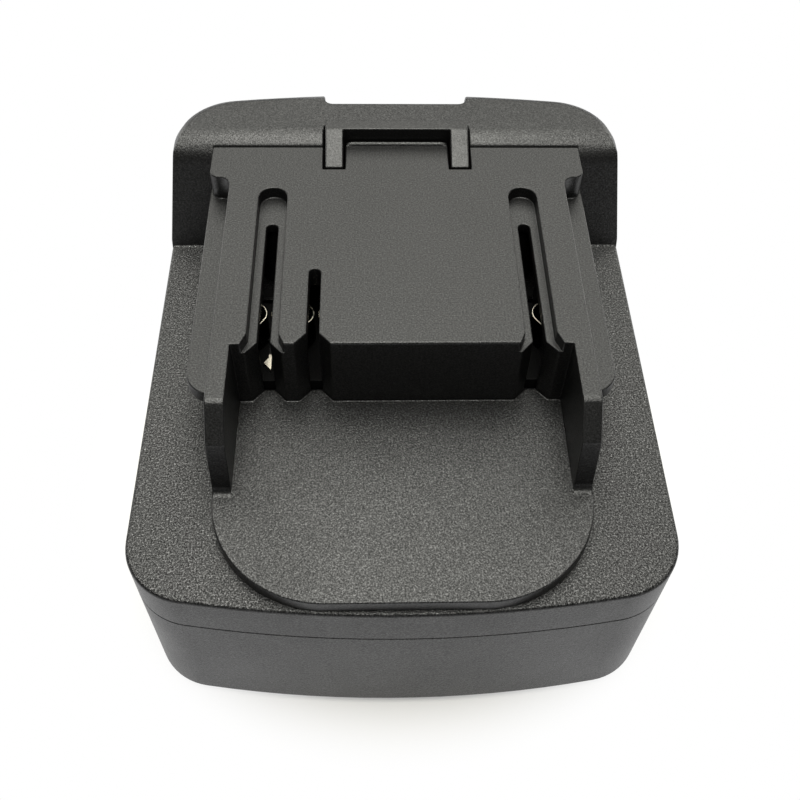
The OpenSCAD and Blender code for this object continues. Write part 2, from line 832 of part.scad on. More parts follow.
// Block inside the plateau that the contacts stand on
module contact_carrier() {
    color([0.13, 0.13, 0.14])
        difference() {
            box([-arm_inner + block_gap, cavity_y + block_gap, top_z],
                [arm_inner - block_gap, bridge_y + post_radius + block_gap, carrier_top]);
            for (place = plate_places)
                translate([place[0], place[1], top_z - over])
                    cylinder(r = post_radius + block_gap, h = carrier_height + 2 * over);
            for (place = carrier_places)
                translate([place[0], place[1], top_z - over])
                    cylinder(r = hole_radius, h = carrier_height + 2 * over);
            for (x = concat(power_places, [signal_x]))
                tail_slot(x, top_z - over, carrier_top + over);
        }
}

// Contact with two sprung leaves on a bar that ends in a tail, and maybe a nose ahead of them
module contact(x, nosed) {
    half = leaf_x + strip;
    brow = neck_gap / 2 + strip;
    color([0.80, 0.74, 0.60])
        union() {
            translate([x, 0, leaf_z]) {
                linear_extrude(leaf_height)
                    union() {
                        leaf();
                        mirror([1, 0])
                            leaf();
                    }
                box([-half, bridge_y, 0], [half, bridge_y + strip, strip]);
                if (nosed) {
                    box([-brow, neck_y - 2 * strip, 0], [brow, neck_y - strip, strip]);
                    box([-strip / 2, neck_y - nose_reach, 0], [strip / 2, neck_y - strip, strip]);
                    box([-nose_width / 2, neck_y - nose_reach, 0],
                        [nose_width / 2, neck_y - nose_reach + nose_length, strip]);
                }
            }
            box([x - tail_width / 2, bridge_y, tail_foot],
                [x + tail_width / 2, bridge_y + strip, leaf_z + strip]);
        }
}

// Outline of one leaf: lead-in and neck on one arc, then a slant and a straight
module leaf() {
    middle = [neck_gap / 2 + neck_radius, neck_y];
    steps = 12;
    function on_arc(radius, i) =
        let (turn = -lead_angle + (lead_angle + leaf_angle) * i / steps)
        middle + radius * [-cos(turn), sin(turn)];
    polygon(concat(
        [for (i = [0:steps]) on_arc(neck_radius, i)],
        [[leaf_x, leaf_y], [leaf_x, bridge_y + strip], [leaf_x + strip, bridge_y + strip],
            [leaf_x + strip, leaf_y - strip * tan(leaf_angle / 2)]],
        [for (i = [0:steps]) on_arc(neck_radius - strip, steps - i)]));
}

// Latch: ramped hook, sliding body with spring pockets, and release button
module latch() {
    color([0.09, 0.09, 0.095])
        difference() {
            union() {
                box([-hook_half, hook_front, latch_z], [hook_half, latch_rear, latch_shoulder]);
                box([-hook_half, hook_front, latch_z], [hook_half, hook_rear, hook_z]);
                for (side = [-1, 1])
                    along_x(side > 0 ? post_inner : -hook_half, side > 0 ? hook_half : -post_inner)
                        polygon([[post_front, plateau_z], [hook_front, hook_z], [hook_front + over, hook_z],
                            [hook_front + over, cavity_roof - plateau_roof],
                            [post_front, cavity_roof]]);
                button();
            }
            for (side = [-1, 1])
                translate([side * spring_x, spring_y, latch_z - over])
                    cylinder(r = pocket_radius, h = spring_pocket + over);
        }
}

// Release button with its grip ridges
module button() {
    half = button_width / 2;
    pitch = button_height / (grip_count + 1);
    box([-half, latch_rear - over, button_z], [half, button_y, button_z + button_height]);
    for (i = [1:grip_count])
        translate([-half + grip_radius, button_y, button_z + i * pitch])
            rotate([0, 90, 0])
                cylinder(r = grip_radius, h = button_width - 2 * grip_radius);
}

// Points of a coil's middle line
rings = 8;
coil_count = spring_turns * rings;
coil_pitch = (spring_length - spring_wire) / spring_turns;
function coil_point(i) = [spring_radius * cos(360 * i / rings), spring_radius * sin(360 * i / rings),
    spring_wire / 2 + (spring_length - spring_wire) * i / coil_count];
coil_line = [for (i = [0:coil_count]) coil_point(i)];
least_gap = min([for (i = [0:coil_count - rings + 1], j = [i + rings - 1:min(i + rings + 1, coil_count)])
    norm(coil_line[i] - coil_line[j])]) - spring_wire;
echo(least_gap_of_the_springs = least_gap);

// Compression spring: one unbroken tube wound on a helix, ends ground flat
module spring(side) {
    sides = 6;
    ring = spring_wire / 2;
    rise = atan2(coil_pitch, 2 * PI * spring_radius);
    points = [for (i = [0:coil_count], k = [0:sides - 1])
        let (turn = 360 * i / rings,
            out = [cos(turn), sin(turn), 0],
            up = [sin(turn) * sin(rise), -cos(turn) * sin(rise), cos(rise)])
        coil_line[i] + ring * (cos(360 * k / sides) * out + sin(360 * k / sides) * up)];
    walls = [for (i = [0:coil_count - 1], k = [0:sides - 1])
        let (a = i * sides + k, b = i * sides + (k + 1) % sides)
        each [[a, a + sides, b], [b, a + sides, b + sides]]];
    first = [for (k = [1:sides - 2]) [0, k, k + 1]];
    last = [for (k = [1:sides - 2]) let (e = coil_count * sides) [e, e + k + 1, e + k]];
    translate([side * spring_x, spring_y, ceiling_z])
        polyhedron(points, concat(walls, first, last));
}

// Block that holds the blades in the socket, with a flange on the ceiling
module terminal_block() {
    color([0.13, 0.13, 0.14])
        difference() {
            union() {
                box([-block_width / 2, block_y, block_z], [block_width / 2, block_rear, block_top]);
                box([-block_width / 2 - block_ear, block_y, ceiling_z],
                    [block_width / 2 + block_ear, block_rear, block_top]);
            }
            for (x = power_places)
                blade_cut(x);
            blade_cut(signal_x);
            for (place = block_places)
                translate([place[0], place[1], ceiling_z - over])
                    cylinder(r = hole_radius, h = block_flange + 2 * over);
        }
}

// Space in the block for one blade and its tail
module blade_cut(x) {
    blade_shape(x, block_gap / 2);
}

// Upright blade with a cross tail that rises through the block
module blade_shape(x, gap) {
    half = blade_thickness / 2;
    box([x - half - gap, tail_y - half - gap, blade_z - gap],
        [x + half + gap, block_rear + blade_reach, blade_z + blade_height + gap]);
    box([x - tail_width / 2 - gap, tail_y - half - gap, blade_z - gap],
        [x + tail_width / 2 + gap, tail_y + half + gap, tail_top]);
}

// Blade in its block
module blade(x) {
    color([0.82, 0.76, 0.62])
        blade_shape(x, 0);
}

// Wire from a blade's tail to a contact's tail: one tube that climbs in an S
module wire(x, diameter, shade) {
    sides = 8;
    steps = 12;
    run = wire_end - wire_start;
    climb = contact_wire_z - blade_wire_z;
    points = [for (i = [0:steps], k = [0:sides - 1])
        let (t = i / steps,
            tilt = atan2(climb * 6 * t * (1 - t), run),
            turn = 360 * (k + 0.5) / sides)
        [x, wire_start + run * t, blade_wire_z + climb * t * t * (3 - 2 * t)]
            + diameter / 2 * [cos(turn), -sin(turn) * sin(tilt), sin(turn) * cos(tilt)]];
    walls = [for (i = [0:steps - 1], k = [0:sides - 1])
        let (a = i * sides + k, b = i * sides + (k + 1) % sides)
        each [[a, b, a + sides], [b, b + sides, a + sides]]];
    first = [for (k = [1:sides - 2]) [0, k + 1, k]];
    last = [for (k = [1:sides - 2]) let (e = steps * sides) [e, e + k, e + k + 1]];
    color(shade)
        polyhedron(points, concat(walls, first, last));
}

// Screws that hold the two shells together, driven from below
module case_screws() {
    color([0.55, 0.56, 0.58])
        for (place = case_places)
            translate([place[0], place[1], case_head_height])
                screw(parting_z - case_head_height + screw_bite);
}

// Screws that hold the tool plate, driven from inside the upper shell
module plate_screws() {
    color([0.55, 0.56, 0.58])
        for (place = plate_places)
            translate([place[0], place[1], deck_z])
                screw(shell_wall + screw_bite);
}

// Screws that hold the contact carrier, driven from above
module carrier_screws() {
    color([0.55, 0.56, 0.58])
        for (place = carrier_places)
            translate([place[0], place[1], carrier_top])
                mirror([0, 0, 1])
                    screw(carrier_height + screw_bite);
}

// Screws that hold the terminal block, driven from above
module block_screws() {
    color([0.55, 0.56, 0.58])
        for (place = block_places)
            translate([place[0], place[1], block_top])
                mirror([0, 0, 1])
                    screw(block_flange + screw_bite);
}

lower_shell();
upper_shell();
tool_plate();
contact_carrier();
contact(-slot_x, true);  // contact_left
contact(slot_x, false);  // contact_right
contact(signal_x, false);  // contact_signal
latch();
color([0.7, 0.7, 0.72]) spring(-1);  // latch_spring_left
color([0.7, 0.7, 0.72]) spring(1);  // latch_spring_right
terminal_block();
blade(-slot_x);  // blade_left
blade(slot_x);  // blade_right
blade(signal_x);  // blade_signal
wire(-slot_x, wire_diameter, [0.05, 0.05, 0.05]);  // wire_left
wire(slot_x, wire_diameter, [0.6, 0.05, 0.04]);  // wire_right
wire(signal_x, signal_wire_diameter, [0.85, 0.85, 0.82]);  // wire_signal
case_screws();
plate_screws();
carrier_screws();
block_screws();
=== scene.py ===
"""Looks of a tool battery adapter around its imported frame: moulded shells with
a sparkling grain, a finer slotted plate, a sprung latch, bright contacts and
the blades, wires and screws inside. Lengths are in metres, but the functions
that return the points of a surface or a line work in millimetres."""
import math

import bmesh
import bpy
import numpy as np
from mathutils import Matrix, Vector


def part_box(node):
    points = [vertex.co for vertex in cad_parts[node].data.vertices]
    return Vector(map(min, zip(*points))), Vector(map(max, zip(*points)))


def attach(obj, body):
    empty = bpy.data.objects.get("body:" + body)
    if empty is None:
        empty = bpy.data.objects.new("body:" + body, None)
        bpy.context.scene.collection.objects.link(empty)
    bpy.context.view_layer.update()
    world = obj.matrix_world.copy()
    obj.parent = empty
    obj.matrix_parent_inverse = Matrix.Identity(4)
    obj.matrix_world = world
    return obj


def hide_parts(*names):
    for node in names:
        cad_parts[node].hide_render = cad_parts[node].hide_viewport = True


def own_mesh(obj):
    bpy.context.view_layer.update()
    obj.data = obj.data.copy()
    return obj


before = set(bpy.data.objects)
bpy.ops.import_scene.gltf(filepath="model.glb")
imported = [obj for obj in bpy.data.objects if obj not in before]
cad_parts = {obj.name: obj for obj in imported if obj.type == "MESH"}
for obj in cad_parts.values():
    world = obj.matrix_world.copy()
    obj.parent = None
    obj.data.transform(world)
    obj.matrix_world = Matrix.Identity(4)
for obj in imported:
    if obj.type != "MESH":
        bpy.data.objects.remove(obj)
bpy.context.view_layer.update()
scene = bpy.context.scene
scene.view_settings.view_transform = "Standard"
MM = 0.001


# Places in the frame

def box_mm(node):
    """Lower and upper corner of a node's box in millimetres, to a micrometre."""
    return np.round(np.array(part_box(node)) / MM, 3)


def middle_mm(node):
    """Middle of a node's box in millimetres."""
    return [float(value) for value in box_mm(node).mean(axis=0)]


# Height of the parting line between the shells
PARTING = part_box("upper_shell")[0][2]
# Height of the body's flat top, on which the tool plate stands
FLAT_TOP = float(box_mm("tool_plate")[0][2]) * MM
# Height of the tongue's upper face
TONGUE_TOP = FLAT_TOP + 2.45 * MM
# Height of the battery socket's ceiling, on which the latch springs stand
CEILING = 21.4 * MM
# Distance within which an edge lies at a height
TOUCH = 0.02 * MM
# Radius of the edges along the parting line
PARTING_ROUND = 0.05 * MM


# Camera and light

def photo_camera():
    """Camera on a line that rises 53.4 degrees over the table and stands 2.7
    degrees to the left of the middle, rolled by 1.8 degrees about that line."""
    azimuth, elevation, roll = -0.04786, 0.93116, 0.03221
    target = np.array([-0.121, -12.516, 36.480]) * MM
    distance = 156.566 * MM
    focal_pixels, picture_pixels = 992.47, 800
    back = np.array([math.sin(azimuth) * math.cos(elevation),
                     -math.cos(azimuth) * math.cos(elevation), math.sin(elevation)])
    right = np.cross(-back, [0.0, 0.0, 1.0])
    right /= np.linalg.norm(right)
    up = np.cross(right, -back)
    c, s = math.cos(roll), math.sin(roll)
    data = bpy.data.cameras.new("photo_camera")
    data.sensor_fit = "HORIZONTAL"
    data.sensor_width = 36.0
    data.lens = focal_pixels / picture_pixels * data.sensor_width
    data.clip_start = 0.01
    camera = bpy.data.objects.new("photo_camera", data)
    scene.collection.objects.link(camera)
    world = np.eye(4)
    world[:3, 0] = c * right + s * up
    world[:3, 1] = -s * right + c * up
    world[:3, 2] = back
    world[:3, 3] = target + back * distance
    camera.matrix_world = [list(column) for column in world.T]
    scene.camera = camera


def soft_box(name, place, aim, width, depth, watts, colour=(1.0, 0.995, 0.93)):
    """Rectangular, slightly warm lamp at place that faces aim."""
    data = bpy.data.lights.new(name, "AREA")
    data.shape = "RECTANGLE"
    data.size = width
    data.size_y = depth
    data.energy = watts
    data.color = colour
    lamp = bpy.data.objects.new(name, data)
    scene.collection.objects.link(lamp)
    lamp.location = place
    way = np.array(aim, float) - np.array(place, float)
    flat = math.hypot(way[0], way[1])
    lamp.rotation_euler = (math.pi / 2 + math.atan2(way[2], flat), 0.0,
                           math.atan2(way[1], way[0]) - math.pi / 2)


def studio_light():
    """Bright lamp overhead, a weaker one above and behind the object, two low ones
    behind to the left and the right that light the edges, and a dim even surround."""
    soft_box("overhead", place=(0.0, -0.015, 0.78), aim=(0.0, -0.015, 0.03),
             width=0.70, depth=0.44, watts=8.2)
    soft_box("rear", place=(0.0, 0.510, 0.570), aim=(0.0, 0.0, 0.03),
             width=0.80, depth=0.55, watts=3.2)
    for side in (-1, 1):
        soft_box("edge_lamp", place=(0.62 * side, 0.55, 0.26), aim=(0.0, 0.0, 0.04),
                 width=0.45, depth=0.45, watts=2.2)
    world = bpy.data.worlds.new("surround")
    scene.world = world
    world.use_nodes = True
    background = world.node_tree.nodes["Background"]
    background.inputs["Color"].default_value = (1, 1, 1, 1)
    background.inputs["Strength"].default_value = 0.09


def pale_floor():
    """Flat square under the object. Near it the paper takes the shadow, and
    further out the camera sees plain white. From below it is clear."""
    half, paper_to, white_from = 3.0, 40 * MM, 60 * MM
    mesh = bpy.data.meshes.new("floor")
    mesh.from_pydata([(-half, -half, 0), (half, -half, 0), (half, half, 0), (-half, half, 0)],
                     [], [(0, 1, 2, 3)])
    floor = bpy.data.objects.new("floor", mesh)
    scene.collection.objects.link(floor)
    paper = bpy.data.materials.new("white_paper")
    paper.use_nodes = True
    nodes, links = paper.node_tree.nodes, paper.node_tree.links
    nodes.clear()
    out = nodes.new("ShaderNodeOutputMaterial")
    matt = nodes.new("ShaderNodeBsdfDiffuse")
    matt.inputs["Color"].default_value = (0.88, 0.865, 0.82, 1)
    glow = nodes.new("ShaderNodeEmission")
    glow.inputs["Strength"].default_value = 1.0
    place = nodes.new("ShaderNodeTexCoord")
    far = nodes.new("ShaderNodeVectorMath")
    far.operation = "LENGTH"
    links.new(place.outputs["Object"], far.inputs[0])
    fade = nodes.new("ShaderNodeMapRange")
    fade.interpolation_type = "SMOOTHSTEP"
    fade.inputs["From Min"].default_value = paper_to
    fade.inputs["From Max"].default_value = white_from
    links.new(far.outputs["Value"], fade.inputs["Value"])
    rays = nodes.new("ShaderNodeLightPath")
    straight = rays.outputs["Is Camera Ray"]
    for kind in ("Is Glossy Ray", "Is Transmission Ray"):
        straight = math_on(nodes, links, "MAXIMUM", straight, rays.outputs[kind])
    mix = nodes.new("ShaderNodeMixShader")
    links.new(math_on(nodes, links, "MULTIPLY", fade.outputs["Result"], straight), mix.inputs["Fac"])
    links.new(matt.outputs["BSDF"], mix.inputs[1])
    links.new(glow.outputs["Emission"], mix.inputs[2])
    clear = nodes.new("ShaderNodeBsdfTransparent")
    sides = nodes.new("ShaderNodeNewGeometry")
    sided = nodes.new("ShaderNodeMixShader")
    links.new(sides.outputs["Backfacing"], sided.inputs["Fac"])
    links.new(mix.outputs["Shader"], sided.inputs[1])
    links.new(clear.outputs["BSDF"], sided.inputs[2])
    links.new(sided.outputs["Shader"], out.inputs["Surface"])
    mesh.materials.append(paper)


# Finishes

def finish_of(name, colour, roughness, metallic=0.0):
    """New material with one principled shader, and its nodes and links."""
    material = bpy.data.materials.new(name)
    material.use_nodes = True
    tree = material.node_tree
    shader = tree.nodes["Principled BSDF"]
    shader.inputs["Base Color"].default_value = (*colour, 1)
    shader.inputs["Roughness"].default_value = roughness
    shader.inputs["Metallic"].default_value = metallic
    return material, tree.nodes, tree.links, shader


def noise_on(nodes, links, place, per_metre, detail=2.0, rough=0.5):
    """Noise over the object's own coordinates, with that many grains a metre."""
    noise = nodes.new("ShaderNodeTexNoise")
    noise.inputs["Scale"].default_value = per_metre
    noise.inputs["Detail"].default_value = detail
    noise.inputs["Roughness"].default_value = rough
    links.new(place.outputs["Object"], noise.inputs["Vector"])
    return noise


def range_of(nodes, links, source, low, high, to_low, to_high):
    """Value of a texture carried from one range to another."""
    ranged = nodes.new("ShaderNodeMapRange")
    ranged.inputs["From Min"].default_value = low
    ranged.inputs["From Max"].default_value = high
    ranged.inputs["To Min"].default_value = to_low
    ranged.inputs["To Max"].default_value = to_high
    links.new(source, ranged.inputs["Value"])
    return ranged.outputs["Result"]


def math_on(nodes, links, operation, source, other=None):
    """Outcome of one sum on a texture's value, with a fixed or a linked second value."""
    sum_of = nodes.new("ShaderNodeMath")
    sum_of.operation = operation
    links.new(source, sum_of.inputs[0])
    if isinstance(other, float):
        sum_of.inputs[1].default_value = other
    elif other is not None:
        links.new(other, sum_of.inputs[1])
    return sum_of.outputs["Value"]


def raise_by(nodes, links, shader, source, depth):
    """Bump on a shader, as deep as that where the source is 1."""
    bump = nodes.new("ShaderNodeBump")
    bump.inputs["Distance"].default_value = depth
    links.new(source, bump.inputs["Height"])
    links.new(bump.outputs["Normal"], shader.inputs["Normal"])
    return bump


def moulded_black(name, shade, gloss, grain, depth, sparkle, flat, rest, level=0.47):
    """Black moulded plastic. A spark-eroded grain raises the surface and makes
    it shine unevenly, by e to the power of plus or minus sparkle. The grain is
    full at the height flat, and has the share rest of that elsewhere. The gloss
    wanders slowly, in clouds 60 grains wide."""
    full_within, rest_beyond, cloud = 0.05 * MM, 0.25 * MM, 60 * grain
    material, nodes, links, shader = finish_of(name, (shade, shade, shade), gloss)
    place = nodes.new("ShaderNodeTexCoord")
    fine = noise_on(nodes, links, place, 1 / grain, detail=2.5, rough=0.62)
    broad = noise_on(nodes, links, place, 1 / cloud, detail=3.0, rough=0.55)
    parts = nodes.new("ShaderNodeSeparateXYZ")
    links.new(place.outputs["Object"], parts.inputs["Vector"])
    away = math_on(nodes, links, "SUBTRACT", parts.outputs["Z"], flat)
    away = math_on(nodes, links, "ABSOLUTE", away)
    share = range_of(nodes, links, away, full_within, rest_beyond, 1.0, rest)
    swing = range_of(nodes, links, fine.outputs["Fac"], 0.25, 0.75, -sparkle, sparkle)
    swing = math_on(nodes, links, "MULTIPLY", swing, share)
    shine = math_on(nodes, links, "MULTIPLY", math_on(nodes, links, "EXPONENT", swing), level)
    shader.inputs["Specular IOR Level"].default_value = level
    links.new(shine, shader.inputs["Specular IOR Level"])
    bump = raise_by(nodes, links, shader, fine.outputs["Fac"], depth)
    links.new(share, bump.inputs["Strength"])
    links.new(range_of(nodes, links, broad.outputs["Fac"], 0.3, 0.7, gloss - 0.03, gloss + 0.04),
              shader.inputs["Roughness"])
    return material


def plated_metal(name, colour, gloss, bright=None):
    """Plated strip metal: faint drawing lines along Y and a few dull clouds.
    With bright = (height, place along Y) its colour is painted nearly black as shade
    down in the slots, except above that height and ahead of that place."""
    painted_shade, lines_per_metre, clouds_per_metre = (0.02, 0.02, 0.02), 9000, 700
    material, nodes, links, shader = finish_of(name, colour, gloss, 1.0)
    place = nodes.new("ShaderNodeTexCoord")
    stretch = nodes.new("ShaderNodeMapping")
    stretch.inputs["Scale"].default_value = (1.0, 0.06, 1.0)
    lines = nodes.new("ShaderNodeTexNoise")
    lines.inputs["Scale"].default_value = lines_per_metre
    links.new(place.outputs["Object"], stretch.inputs["Vector"])
    links.new(stretch.outputs["Vector"], lines.inputs["Vector"])
    clouds = noise_on(nodes, links, place, clouds_per_metre, detail=3.0)
    links.new(range_of(nodes, links, clouds.outputs["Fac"], 0.3, 0.7, gloss - 0.06, gloss + 0.12),
              shader.inputs["Roughness"])
    bump = raise_by(nodes, links, shader, lines.outputs["Fac"], 0.01 * MM)
    bump.inputs["Strength"].default_value = 0.25
    # Painted shade: below the height and behind the place, the metal's colour goes nearly black for the
    # shade in the slots
    if bright:
        height, front = bright
        parts = nodes.new("ShaderNodeSeparateXYZ")
        links.new(place.outputs["Object"], parts.inputs["Vector"])
        high = range_of(nodes, links, parts.outputs["Z"], height - 0.1 * MM, height, 0.0, 1.0)
        ahead = range_of(nodes, links, parts.outputs["Y"], front, front + 0.3 * MM, 1.0, 0.0)
        ramp = nodes.new("ShaderNodeValToRGB")
        ramp.color_ramp.elements[0].color = (*painted_shade, 1)
        ramp.color_ramp.elements[1].color = (*colour, 1)
        links.new(math_on(nodes, links, "MAXIMUM", high, ahead), ramp.inputs["Fac"])
        links.new(ramp.outputs["Color"], shader.inputs["Base Color"])
    return material


def wire_jacket(name, colour):
    """Soft extruded jacket with a slight waviness and uneven gloss."""
    waves_per_metre = 900
    material, nodes, links, shader = finish_of(name, colour, 0.38)
    place = nodes.new("ShaderNodeTexCoord")
    waves = noise_on(nodes, links, place, waves_per_metre)
    bump = raise_by(nodes, links, shader, waves.outputs["Fac"], 0.02 * MM)
    bump.inputs["Strength"].default_value = 0.4
    links.new(range_of(nodes, links, waves.outputs["Fac"], 0.3, 0.7, 0.32, 0.46),
              shader.inputs["Roughness"])
    return material


# Pieces copied from CAD nodes

def room_beside(sharp):
    """Room for rounding beside each sharp edge: the shortest way from three of
    its points, square to it and within the plane of either of its faces, to the
    next sharp edge in that plane."""
    plane_gap, open_room, least_room, least_turn = 0.02 * MM, 1.0, 1e-6, 1e-9
    planes = {}
    for line in sharp:
        for loop in line.link_loops:
            start, end = loop.vert.co, loop.link_loop_next.vert.co
            normal = loop.face.normal
            key = (*(round(part, 2) for part in normal), round(normal.dot(start) / plane_gap))
            planes.setdefault(key, []).append((line, start, end, normal.cross(end - start).normalized()))
    room = {}
    for group in planes.values():
        starts = np.array([row[1] for row in group])
        ends = np.array([row[2] for row in group])
        ways = np.array([row[3] for row in group])
        along = (ends - starts) / np.linalg.norm(ends - starts, axis=1)[:, None]
        nearest = np.full(len(group), open_room)
        for share in (0.04, 0.5, 0.96):
            points = starts + share * (ends - starts)
            from_points = starts[None] - points[:, None]
            low = np.einsum("ijk,ik->ij", from_points, along)
            high = low + np.einsum("jk,ik->ij", ends - starts, along)
            low_way = np.einsum("ijk,ik->ij", from_points, ways)
            high_way = low_way + np.einsum("jk,ik->ij", ends - starts, ways)
            turn = np.where(np.abs(high - low) < least_turn, least_turn, high - low)
            cut = low_way - low * (high_way - low_way) / turn
            hit = (low * high < 0) & (cut > least_room)
            nearest = np.minimum(nearest, np.where(hit, cut, open_room).min(axis=1))
        for row, free in zip(group, nearest):
            room[row[0]] = min(room.get(row[0], open_room), free)
    return room


def even_out(radii):
    """Lowers radii until those of two edges that run on into each other differ by
    no more than 0.3 of the shorter one's length times the tangent of their turn."""
    share, run_on, slack = 0.3, math.radians(50), 1e-9
    pairs = []
    for line in radii:
        for vert in line.verts:
            way = (line.other_vert(vert).co - vert.co).normalized()
            for other in vert.link_edges:
                if other is line or other not in radii:
                    continue
                bend = math.pi - way.angle((other.other_vert(vert).co - vert.co).normalized())
                if bend < run_on:
                    step = share * min(line.calc_length(), other.calc_length()) * math.tan(bend)
                    pairs.append((line, other, step))
    changed = True
    while changed:
        changed = False
        for line, other, step in pairs:
            if radii[line] > radii[other] + step + slack:
                radii[line] = radii[other] + step
                changed = True


def rounded_copy(node, body, material, edge, special=None, segments=3):
    """Copy of a CAD node whose loose triangles are joined and whose flat faces
    are made whole again. Each edge that turns by more than 20 degrees is rounded
    to the given radius, or to the one that special gives for the middle of the
    edge and its turn, but never to more than 0.42 of the room beside it. The
    others are shaded as parts of one round surface."""
    join, flat_turn, sharp_turn, room_share = 0.04 * MM, math.radians(0.6), math.radians(20), 0.42
    piece = node + "_piece"
    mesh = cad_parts[node].data.copy()
    mesh.name = piece
    work = bmesh.new()
    work.from_mesh(mesh)
    bmesh.ops.remove_doubles(work, verts=work.verts, dist=join)
    bmesh.ops.dissolve_limit(work, angle_limit=flat_turn, use_dissolve_boundaries=False,
                             verts=work.verts, edges=work.edges)
    weight = work.edges.layers.float.new("bevel_weight_edge")
    sharp = [line for line in work.edges
             if len(line.link_faces) == 2 and line.calc_face_angle() > sharp_turn]
    radii = {}
    for line, room in room_beside(sharp).items():
        middle = (line.verts[0].co + line.verts[1].co) / 2
        wanted = special(*middle, math.degrees(line.calc_face_angle())) if special else None
        if wanted != 0.0:
            radii[line] = min(edge if wanted is None else wanted, room_share * room)
    even_out(radii)
    largest = max(radii.values())
    for line, radius in radii.items():
        line[weight] = radius / largest
    for face in work.faces:
        face.smooth = True
    work.to_mesh(mesh)
    work.free()
    mesh.materials.clear()
    mesh.materials.append(material)
    obj = bpy.data.objects.new(piece, mesh)
    scene.collection.objects.link(obj)
    rounding = obj.modifiers.new("edge_rounding", "BEVEL")
    rounding.width = largest
    rounding.segments = segments
    rounding.limit_method = "WEIGHT"
    rounding.use_clamp_overlap = False
    rounding.loop_slide = False
    normals = obj.modifiers.new("face_normals", "WEIGHTED_NORMAL")
    normals.keep_sharp = False
    normals.weight = 95
    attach(obj, body)
    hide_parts(node)
    return obj


def upper_edge(x, y, z, turn):
    """Rounding of the upper shell's edges: broad round the flat top's rim, slight
    along the parting line, and none between the facets of the riser's round edge,
    which lie outside the latch's opening."""
    riser_edge, opening_half, opening_front, facet_turn = 45 * MM, 12 * MM, 32 * MM, 40
    rim_side, rim_front, rim_round = 39 * MM, -40 * MM, 0.55 * MM
    if turn < facet_turn and z > riser_edge and (abs(x) > opening_half or y < opening_front):
        return 0.0
    if abs(z - FLAT_TOP) < TOUCH and (abs(x) > rim_side or y < rim_front):
        return rim_round
    return PARTING_ROUND if abs(z - PARTING) < TOUCH else None


def lower_edge(x, y, z, turn):
    """Rounding of the lower shell's edges: slight along the parting line and on
    the socket's ceiling inside, and none on the standing plane, where the screw
    bores run into the foot's slanted edge."""
    standing, ceiling_round = 0.5 * MM, 0.12 * MM
    if z < standing:
        return 0.0
    if abs(z - PARTING) < TOUCH:
        return PARTING_ROUND
    return ceiling_round if abs(z - CEILING) < TOUCH else None


def plate_edge(x, y, z, turn):
    """Rounding of the tool plate's edges: broader along the plateau's front."""
    front_half, front, crest, front_round = 24 * MM, -12 * MM, 50 * MM, 0.40 * MM
    return front_round if abs(x) < front_half and y < front and z > crest else None


def latch_edge(x, y, z, turn):
    """Rounding of the latch's edges: slight on the grips of its button."""
    grips, grip_round = 44.3 * MM, 0.12 * MM
    return grip_round if y > grips else None


# Pieces made from surfaces

def new_piece(piece, material, shells, edge=0.0):
    """New piece on the body. Each of its closed shells is a grid of points in
    millimetres whose rows are rings. Quads join neighbouring rings, and a flat
    end closes a first or last ring that isn't a point."""
    point_size, join, sharp_turn, rounded_turn = 1e-6, 1e-7, math.radians(40), math.radians(50)
    points, faces, start = [], [], 0
    for shell in shells:
        rows, columns = shell.shape[:2]
        number = start + np.arange(rows * columns).reshape(rows, columns)
        beside = np.roll(number, -1, axis=1)
        quads = np.stack([number[:-1], beside[:-1], beside[1:], number[1:]], -1)
        faces += quads.reshape(-1, 4).tolist()
        faces += [number[end].tolist() for end in (0, -1) if np.ptp(shell[end], axis=0).max() > point_size]
        points.append(shell.reshape(-1, 3))
        start += rows * columns
    mesh = bpy.data.meshes.new(piece)
    mesh.from_pydata(np.concatenate(points) * MM, [], faces)
    work = bmesh.new()
    work.from_mesh(mesh)
    bmesh.ops.remove_doubles(work, verts=work.verts, dist=join)
    bmesh.ops.recalc_face_normals(work, faces=work.faces)
    work.to_mesh(mesh)
    work.free()
    mesh.shade_smooth()
    mesh.set_sharp_from_angle(angle=sharp_turn)
    mesh.materials.append(material)
    obj = bpy.data.objects.new(piece, mesh)
    scene.collection.objects.link(obj)
    if edge:
        rounding = obj.modifiers.new("edge_rounding", "BEVEL")
        rounding.width = edge
        rounding.segments = 2
        rounding.angle_limit = rounded_turn
    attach(obj, "body")
    return obj


def shaped_piece(node, material, shells, edge=0.0):
    """New piece on the body that stands for a node."""
    obj = new_piece(node + "_piece", material, shells, edge)
    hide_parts(node)
    return obj


def bead_shell(rear, level):
    """Low bead along X on the rear lip of the plateau. Its front has risen, at
    a share of its depth from the crest, by 1 less the square of that share, and
    it fades by the root of 1 less the square of the share of a round end. Its
    back falls from the crest to the rear edge, and its foot is sunk in the lip."""
    half, end, deep, tall, sunk, back = 8.7, 1.2, 0.6, 0.45, 0.7, 0.2
    x = half * np.sin(np.linspace(-np.pi / 2, np.pi / 2, 65))[:, None]
    fade = np.sqrt(1 - np.clip((np.abs(x) - half + end) / end, 0, 1) ** 2)
    share = np.linspace(1, 0, 9)
    y = rear - back + np.concatenate([-deep * share, [0.6 * back, 0.8 * back, -deep]])
    rise = np.concatenate([1 - share ** 2, [0.85, 0.0, 0.0]])
    foot = np.concatenate([np.zeros(10), [-sunk, -sunk]])
    return np.stack([x + 0 * y, y + 0 * x, level + tall * fade * rise + foot], -1)


